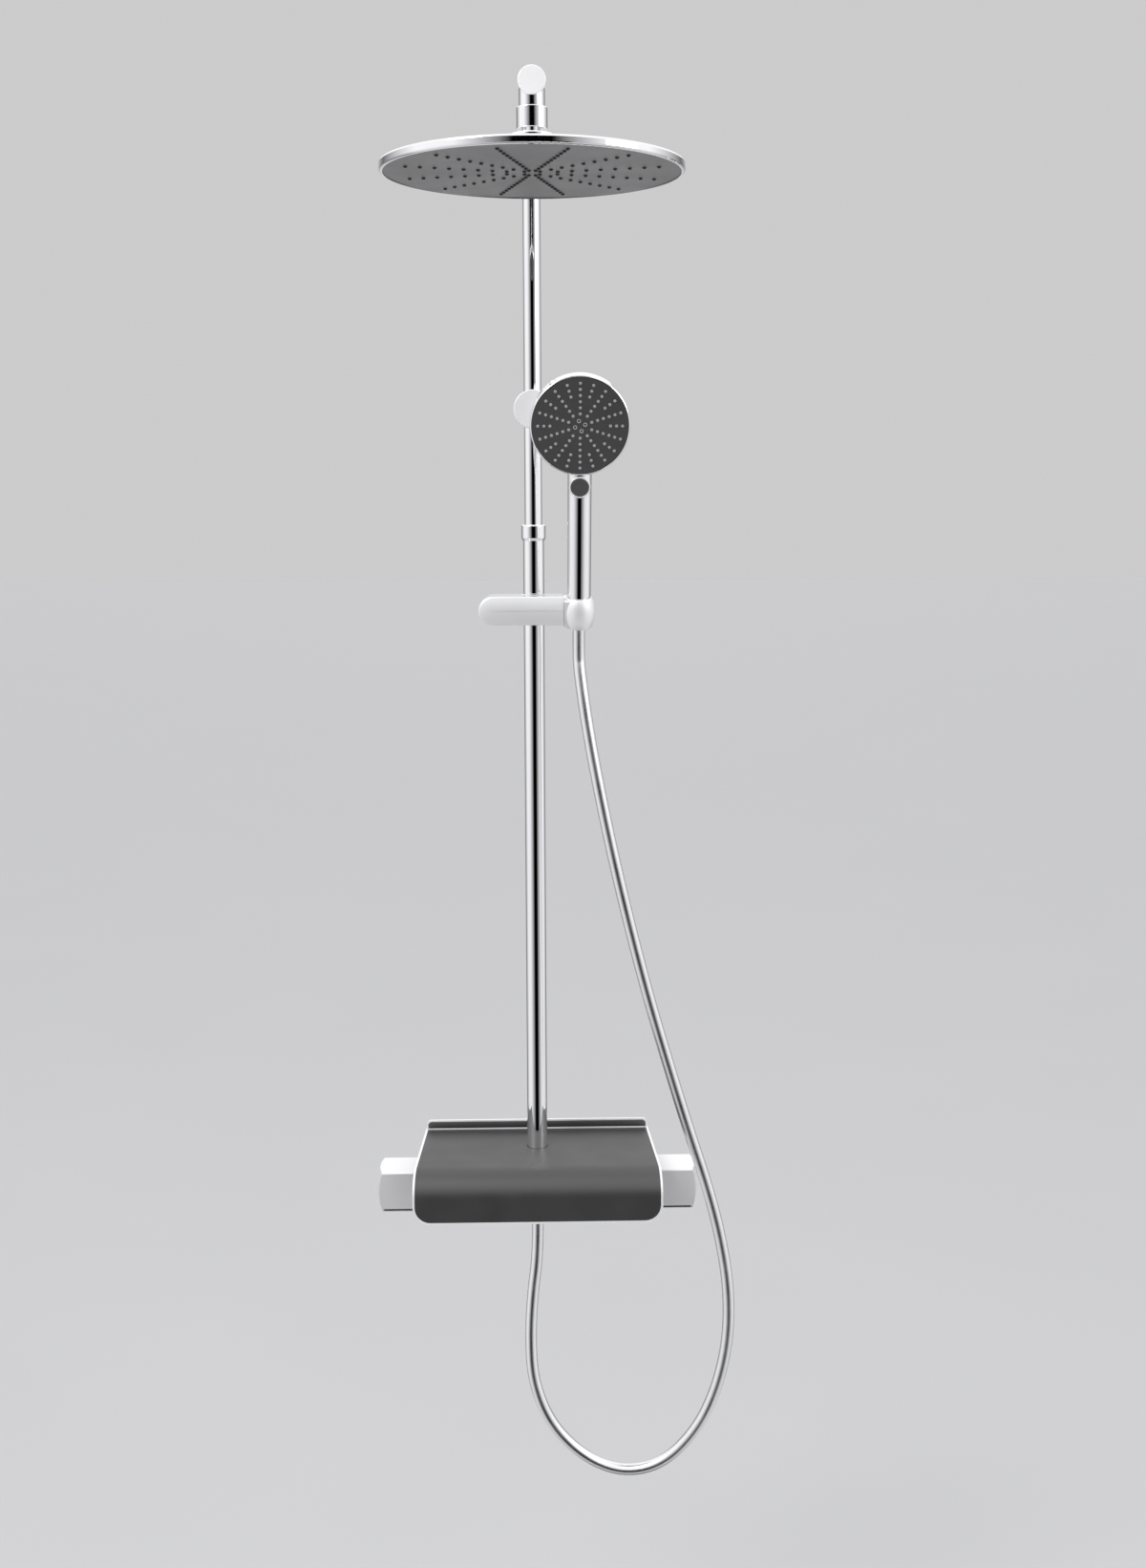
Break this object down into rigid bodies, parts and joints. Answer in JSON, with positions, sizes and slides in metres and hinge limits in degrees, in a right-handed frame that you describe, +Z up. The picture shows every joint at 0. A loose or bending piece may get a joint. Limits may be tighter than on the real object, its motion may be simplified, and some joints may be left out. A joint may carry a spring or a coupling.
{
  "type": "rainfall shower column",
  "caption": "Wall-mounted thermostatic shower column with a shelf over the mixer, a telescopic riser, an overhead rain spray on an arm and a handset on a sliding holder.",
  "frame": {"origin": "midway between the two supply inlets, on the face of the wall", "axes": "+Z up, +X to the right, +Y into the wall"},
  "size_m": [0.4295, 0.563, 1.5724],
  "materials": {
    "chrome": "polished chrome plate",
    "satin_chrome": "fine satin chrome plate",
    "anthracite": "smooth anthracite shelf panel with a soft sheen",
    "grey_face": "grey moulded spray face, lightly glossy",
    "dark_face": "dark grey moulded spray face, lightly glossy",
    "dark_silicone": "dark grey silicone",
    "pale_silicone": "pale grey silicone",
    "button_plastic": "matt dark button",
    "brass": "machined brass",
    "white_plastic": "moulded low-friction plastic",
    "black_rubber": "seal rubber",
    "spring_steel": "spring steel",
    "hose_skin": "silver smooth hose skin over a ribbed lining"
  },
  "bodies": {
    "mixer": {"mixer_body": "chrome", "hot_wall_connector": "brass", "cold_wall_connector": "brass", "union_nuts": "chrome", "inlet_washers": "black_rubber", "check_valves": "white_plastic", "wall_rosettes": "chrome", "flow_cartridge": "brass", "thermostatic_cartridge": "brass", "cartridge_nuts": "brass", "temperature_stop_ring": "white_plastic", "shelf_panel": "anthracite", "shelf_trim": "chrome", "shelf_clips": "white_plastic", "lower_riser_tube": "chrome", "riser_nut": "chrome", "clamp_ring": "white_plastic", "bracket_base": "brass", "bracket_flange": "chrome", "bracket_post": "chrome", "bracket_bush": "white_plastic", "bracket_cover": "satin_chrome", "hose_lower_nut": "chrome", "hose_lower_ferrule": "brass", "hose": "hose_skin"},
    "collar": {"telescope_collar": "chrome"},
    "flow_knob": {"flow_knob": "satin_chrome", "flow_knob_cover": "satin_chrome", "flow_spindle": "brass"},
    "temperature_knob": {"temperature_knob": "satin_chrome", "temperature_knob_cover": "satin_chrome", "temperature_spindle": "brass"},
    "riser_guide": {"guide_bush": "white_plastic", "riser_seal": "black_rubber"},
    "shower_arm": {"upper_riser_tube": "chrome", "arm_tube": "chrome", "arm_caps": "satin_chrome", "arm_nut": "chrome", "drop_pipe": "chrome", "ball_connector": "chrome"},
    "ball_ring": {"ball_seat_ring": "white_plastic"},
    "overhead_spray": {"head_shell": "chrome", "head_faceplate": "grey_face", "head_nozzle_mat": "dark_silicone", "head_socket": "chrome", "socket_ring": "chrome"},
    "slider_sleeve": {"slider_bush": "white_plastic"},
    "slider": {"slider_body": "chrome", "holder_pin": "spring_steel", "lever_pin": "spring_steel", "lever_spring": "spring_steel"},
    "slider_lever": {"slider_plate": "satin_chrome"},
    "holder": {"handset_holder": "satin_chrome"},
    "hose_end": {"hose_nut": "chrome", "hose_ferrule": "brass"},
    "handset": {"handset_body": "chrome", "handset_faceplate": "dark_face", "handset_nozzle_mat": "pale_silicone", "handset_connector": "brass"},
    "spray_button": {"handset_button": "button_plastic"}
  },
  "joints": [
    {"name": "flow_knob_turn", "type": "hinge", "parent": "mixer", "child": "flow_knob", "pos_m": [-0.16, -0.07, 0], "axis": [1, 0, 0], "range_deg": [-90, 90]},
    {"name": "temperature_knob_turn", "type": "hinge", "parent": "mixer", "child": "temperature_knob", "pos_m": [0.16, -0.07, 0], "axis": [1, 0, 0], "range_deg": [-180, 60]},
    {"name": "collar_turn", "type": "hinge", "parent": "mixer", "child": "collar", "pos_m": [0, -0.07, 0.78], "axis": [0, 0, 1], "range_deg": [0, 270]},
    {"name": "riser_telescope", "type": "slide", "parent": "mixer", "child": "riser_guide", "axis": [0, 0, 1], "range_m": [-0.15, 0.08]},
    {"name": "arm_swivel", "type": "hinge", "parent": "riser_guide", "child": "shower_arm", "pos_m": [0, -0.07, 0.61], "axis": [0, 0, 1], "range_deg": [-45, 45]},
    {"name": "head_tilt_front_back", "type": "hinge", "parent": "shower_arm", "child": "ball_ring", "pos_m": [0, -0.408, 1.136], "axis": [1, 0, 0], "range_deg": [-10, 10]},
    {"name": "head_tilt_side", "type": "hinge", "parent": "ball_ring", "child": "overhead_spray", "pos_m": [0, -0.408, 1.136], "axis": [0, 1, 0], "range_deg": [-10, 10]},
    {"name": "slider_height", "type": "slide", "parent": "mixer", "child": "slider_sleeve", "axis": [0, 0, 1], "range_m": [-0.55, 0.05], "deforming": ["hose"]},
    {"name": "slider_swivel", "type": "hinge", "parent": "slider_sleeve", "child": "slider", "pos_m": [0, -0.07, 0.6957], "axis": [0, 0, 1], "range_deg": [-45, 45]},
    {"name": "lever_press", "type": "hinge", "parent": "slider", "child": "slider_lever", "pos_m": [0.012, -0.0995, 0.6957], "axis": [0, 0, -1], "range_deg": [0, 2], "stiffness_Nm_per_rad": 10, "springref_deg": -2.01, "deforming": ["lever_spring"]},
    {"name": "holder_tilt", "type": "hinge", "parent": "slider", "child": "holder", "pos_m": [0.035, -0.096, 0.6957], "axis": [1, 0, 0], "range_deg": [-10, 35]},
    {"name": "handset_lift", "type": "slide", "parent": "holder", "child": "hose_end", "axis": [0, -0.2419, 0.9703], "range_m": [0, 0.06]},
    {"name": "handset_turn", "type": "hinge", "parent": "hose_end", "child": "handset", "pos_m": [0.0505, -0.105, 0.6957], "axis": [0, -0.2419, 0.9703], "range_deg": [-90, 90]},
    {"name": "spray_button_press", "type": "slide", "parent": "handset", "child": "spray_button", "axis": [0, 0.9703, 0.2419], "range_m": [0, 0.0015], "stiffness_N_per_m": 900, "springref_m": -0.002}
  ]
}
